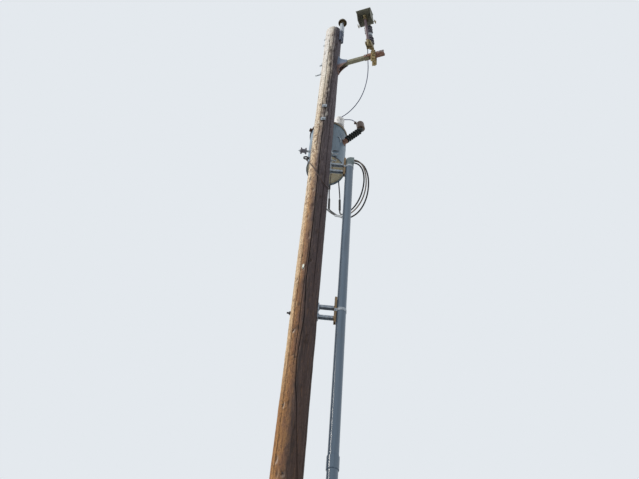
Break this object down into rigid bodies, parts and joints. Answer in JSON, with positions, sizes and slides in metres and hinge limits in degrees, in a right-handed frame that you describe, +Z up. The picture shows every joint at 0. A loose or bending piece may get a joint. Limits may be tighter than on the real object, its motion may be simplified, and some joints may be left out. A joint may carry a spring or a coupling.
{
  "type": "wooden utility pole",
  "caption": "Weathered wooden distribution pole with a pole-top insulator, fused cutout, hung transformer, surge arrester, neutral spool and a plastic cable riser.",
  "frame": {"origin": "centre of the pole's foot at ground level", "axes": "+Z up the pole, +X to the side that carries the cable riser, -Y to the side it is looked at from"},
  "size_m": [0.9744, 1.4823, 11.72],
  "materials": {
    "pole_wood": "weathered, cracked wood",
    "galvanised_steel": "dull galvanised",
    "rusted_steel": "galvanising worn to rust",
    "pin_porcelain": "dark brown glaze",
    "arm_resin": "weathered glass-fibre resin",
    "cutout_porcelain": "grey glaze",
    "hood_plastic": "weathered moulding",
    "contact_bronze": "dull bronze",
    "fuse_tube_resin": "varnished fibre tube",
    "tank_paint": "light grey paint",
    "tank_bottom_paint": "grey paint, rust stained",
    "lid_band_paint": "dark, rust stained",
    "bushing_porcelain": "grey glaze",
    "cover_plastic": "pale moulding",
    "lead_resin": "dark moulded resin",
    "arrester_rubber": "dull silicone",
    "arrester_cap_plastic": "brown moulding",
    "conduit_plastic": "grey plastic pipe",
    "head_plastic": "grey moulding",
    "head_insert_plastic": "dark insert",
    "wire_jacket": "black jacket",
    "bare_neutral": "bare stranded wire, weathered",
    "bond_copper": "browned copper",
    "splice_jacket": "black cover",
    "splice_metal": "pressed sleeve"
  },
  "bodies": {
    "pole_assembly": {"pole": "pole_wood", "pole_top_pin": "galvanised_steel", "pin_bolts": "galvanised_steel", "pin_insulator": "pin_porcelain", "arm_base": "galvanised_steel", "arm_bolts": "galvanised_steel", "cutout_arm": "arm_resin", "arm_straps": "rusted_steel", "cutout_hanger": "galvanised_steel", "cutout_insulator": "cutout_porcelain", "cutout_band": "galvanised_steel", "top_contact": "contact_bronze", "arc_hood": "hood_plastic", "cutout_hinge": "contact_bronze", "tank_shell": "tank_paint", "tank_bottom": "tank_bottom_paint", "tank_lid": "tank_paint", "lid_band": "lid_band_paint", "tank_hangers": "tank_paint", "tank_bolts": "galvanised_steel", "hv_bushing": "bushing_porcelain", "hv_cover": "cover_plastic", "lv_bushings": "lead_resin", "lv_clamps": "contact_bronze", "arrester_bracket": "rusted_steel", "arrester": "arrester_rubber", "arrester_cap": "arrester_cap_plastic", "riser_low": "conduit_plastic", "riser_top": "conduit_plastic", "riser_coupling": "conduit_plastic", "weatherhead": "head_plastic", "weatherhead_insert": "head_insert_plastic", "strain_plate": "galvanised_steel", "spool": "pin_porcelain", "spool_bolt": "galvanised_steel", "eye_bolt": "galvanised_steel", "eye_nut": "galvanised_steel", "splice_right": "splice_jacket", "splice_middle": "splice_jacket", "splice_neutral": "splice_metal", "hv_lead": "wire_jacket", "arrester_jumper": "wire_jacket", "riser_cable_outer": "wire_jacket", "riser_cable_inner": "wire_jacket", "riser_cable_neutral": "bare_neutral", "lead_right": "wire_jacket", "lead_middle": "wire_jacket", "lead_left": "bare_neutral", "bond_wire": "bond_copper", "standoff_1": "rusted_steel", "riser_strap_1": "galvanised_steel", "standoff_2": "rusted_steel", "riser_strap_2": "galvanised_steel", "standoff_3": "rusted_steel", "riser_strap_3": "galvanised_steel", "standoff_4": "rusted_steel", "riser_strap_4": "galvanised_steel"},
    "fuse_holder": {"fuse_tube": "fuse_tube_resin", "fuse_top_fitting": "contact_bronze", "fuse_low_fitting": "contact_bronze"}
  },
  "joints": [
    {"name": "fuse_hinge", "type": "hinge", "parent": "pole_assembly", "child": "fuse_holder", "pos_m": [0.46299, -0.47044, 10.2941], "axis": [0.9205, -0.3907, 0], "range_deg": [0, 130]}
  ]
}
